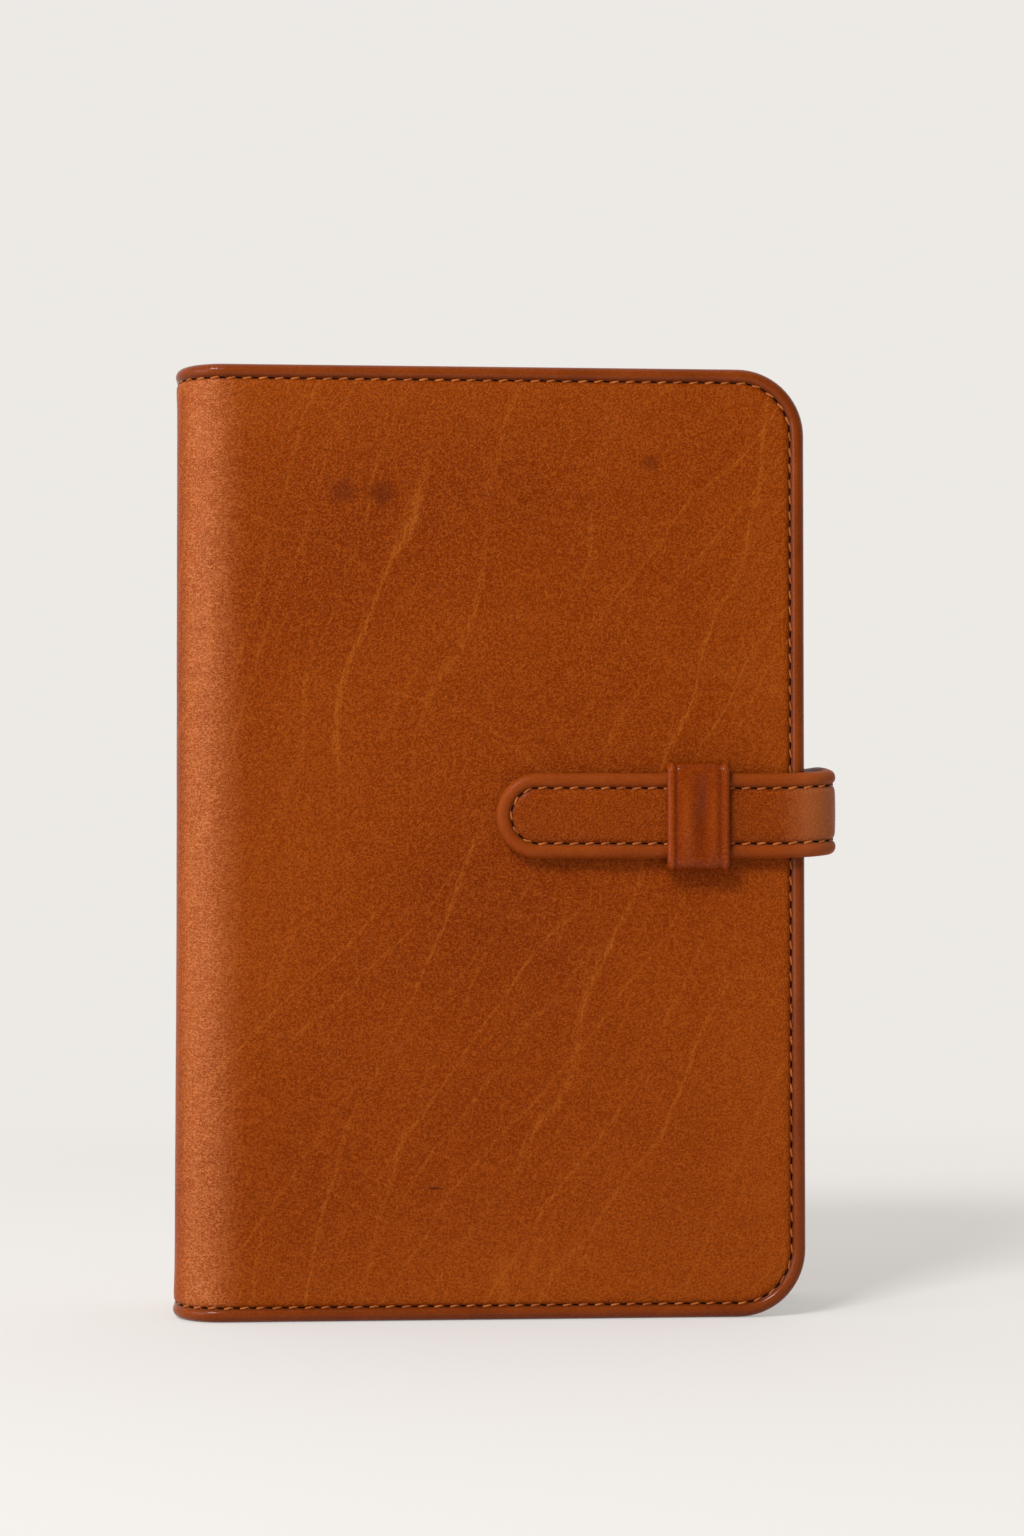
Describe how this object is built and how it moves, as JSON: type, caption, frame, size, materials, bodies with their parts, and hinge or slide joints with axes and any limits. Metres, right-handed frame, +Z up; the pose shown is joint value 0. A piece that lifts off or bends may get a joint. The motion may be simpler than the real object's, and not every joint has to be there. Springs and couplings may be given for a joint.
{
  "type": "ring-bound leather planner",
  "caption": "Ring-bound planner in stitched leather, with a strap that wraps the fore edge and tucks under a keeper, pockets, loose-leaf pages and an opening ring mechanism.",
  "frame": {"origin": "middle of the underside of the closed, standing planner with its strap and keeper", "axes": "+Z up along the spine, +X from the spine to the fore edge, -Y out of the front cover"},
  "size_m": [0.1318, 0.0432, 0.19],
  "materials": {
    "leather": "semi-gloss, fine grain",
    "lining": "matt, smooth",
    "board": "matt",
    "nickel": "polished nickel plate",
    "paper": "matt",
    "card_stock": "matt",
    "marker": "frosted"
  },
  "bodies": {
    "spine": {"spine_leather": "leather", "spine_board": "board", "spine_lining": "lining", "front_fold_leather": "leather", "front_fold_lining": "lining", "back_fold_leather": "leather", "back_fold_lining": "lining", "ring_plate": "nickel", "rivets": "nickel", "lever_pins": "nickel"},
    "front_cover": {"front_leather": "leather", "front_board": "board", "front_lining": "lining", "front_slip_pocket": "lining", "card_pocket_upper": "lining", "card_pocket_middle": "lining", "card_pocket_lower": "lining", "keeper_loop": "leather"},
    "back_cover": {"back_leather": "leather", "back_board": "board", "back_lining": "lining", "back_slip_pocket": "lining", "strap_anchor": "leather", "strap_anchor_lining": "lining", "strap_bend_back": "leather", "strap_bend_back_lining": "lining"},
    "strap_side": {"strap_side": "leather", "strap_side_lining": "lining", "strap_bend_front": "leather", "strap_bend_front_lining": "lining"},
    "strap_tongue": {"strap_tongue": "leather", "strap_tongue_lining": "lining"},
    "rings_front": {"leaf_front": "nickel", "rings_front": "nickel"},
    "rings_back": {"leaf_back": "nickel", "rings_back": "nickel"},
    "lever_top": {"lever_top": "nickel"},
    "lever_bottom": {"lever_bottom": "nickel"},
    "pages_front": {"fly_leaf_front": "card_stock", "page_section_1": "paper", "divider_1": "card_stock", "page_section_2": "paper", "divider_2": "card_stock", "page_section_3": "paper", "page_marker": "marker"},
    "pages_back": {"page_section_4": "paper", "divider_3": "card_stock", "page_section_5": "paper", "divider_4": "card_stock", "page_section_6": "paper", "fly_leaf_back": "card_stock"}
  },
  "joints": [
    {"name": "front_cover_fold", "type": "hinge", "parent": "spine", "child": "front_cover", "pos_m": [-0.06375, -0.01485, 0.095], "axis": [0, 0, -1], "range_deg": [0, 90], "deforming": ["front_fold_leather", "front_fold_lining"]},
    {"name": "back_cover_fold", "type": "hinge", "parent": "spine", "child": "back_cover", "pos_m": [-0.06375, 0.01685, 0.095], "axis": [0, 0, 1], "range_deg": [0, 90], "deforming": ["back_fold_leather", "back_fold_lining"]},
    {"name": "pages_front_turn", "type": "hinge", "parent": "spine", "child": "pages_front", "pos_m": [-0.05046, 0.001, 0.095], "axis": [0, 0, -1], "range_deg": [0, 90]},
    {"name": "pages_back_turn", "type": "hinge", "parent": "spine", "child": "pages_back", "pos_m": [-0.05046, 0.001, 0.095], "axis": [0, 0, 1], "range_deg": [0, 90]},
    {"name": "rings_front_open", "type": "hinge", "parent": "spine", "child": "rings_front", "pos_m": [-0.06035, -0.004, 0.095], "axis": [0, 0, -1], "range_deg": [0, 7.5]},
    {"name": "rings_back_open", "type": "hinge", "parent": "spine", "child": "rings_back", "pos_m": [-0.06035, 0.006, 0.095], "axis": [0, 0, 1], "range_deg": [0, 7.5]},
    {"name": "lever_top_press", "type": "hinge", "parent": "spine", "child": "lever_top", "pos_m": [-0.06, 0.001, 0.1705], "axis": [0, -1, 0], "range_deg": [0, 10]},
    {"name": "lever_bottom_press", "type": "hinge", "parent": "spine", "child": "lever_bottom", "pos_m": [-0.06, 0.001, 0.0195], "axis": [0, 1, 0], "range_deg": [0, 10]},
    {"name": "strap_back_bend", "type": "hinge", "parent": "back_cover", "child": "strap_side", "pos_m": [0.06348, 0.01918, 0.1], "axis": [0, 0, 1], "range_deg": [0, 90], "deforming": ["strap_bend_back", "strap_bend_back_lining"]},
    {"name": "strap_front_bend", "type": "hinge", "parent": "strap_side", "child": "strap_tongue", "pos_m": [0.06348, -0.01748, 0.1], "axis": [0, 0, 1], "range_deg": [0, 90], "deforming": ["strap_bend_front", "strap_bend_front_lining", "strap_tongue", "strap_tongue_lining"]}
  ],
  "couplings": [
    {"joint": "pages_front_turn", "follows": "front_cover_fold", "ratio": 1},
    {"joint": "pages_back_turn", "follows": "back_cover_fold", "ratio": 1},
    {"joint": "rings_back_open", "follows": "rings_front_open", "ratio": 1},
    {"joint": "lever_top_press", "follows": "rings_front_open", "ratio": 1.3333},
    {"joint": "lever_bottom_press", "follows": "rings_front_open", "ratio": 1.3333},
    {"joint": "strap_front_bend", "follows": "strap_back_bend", "ratio": 1}
  ]
}
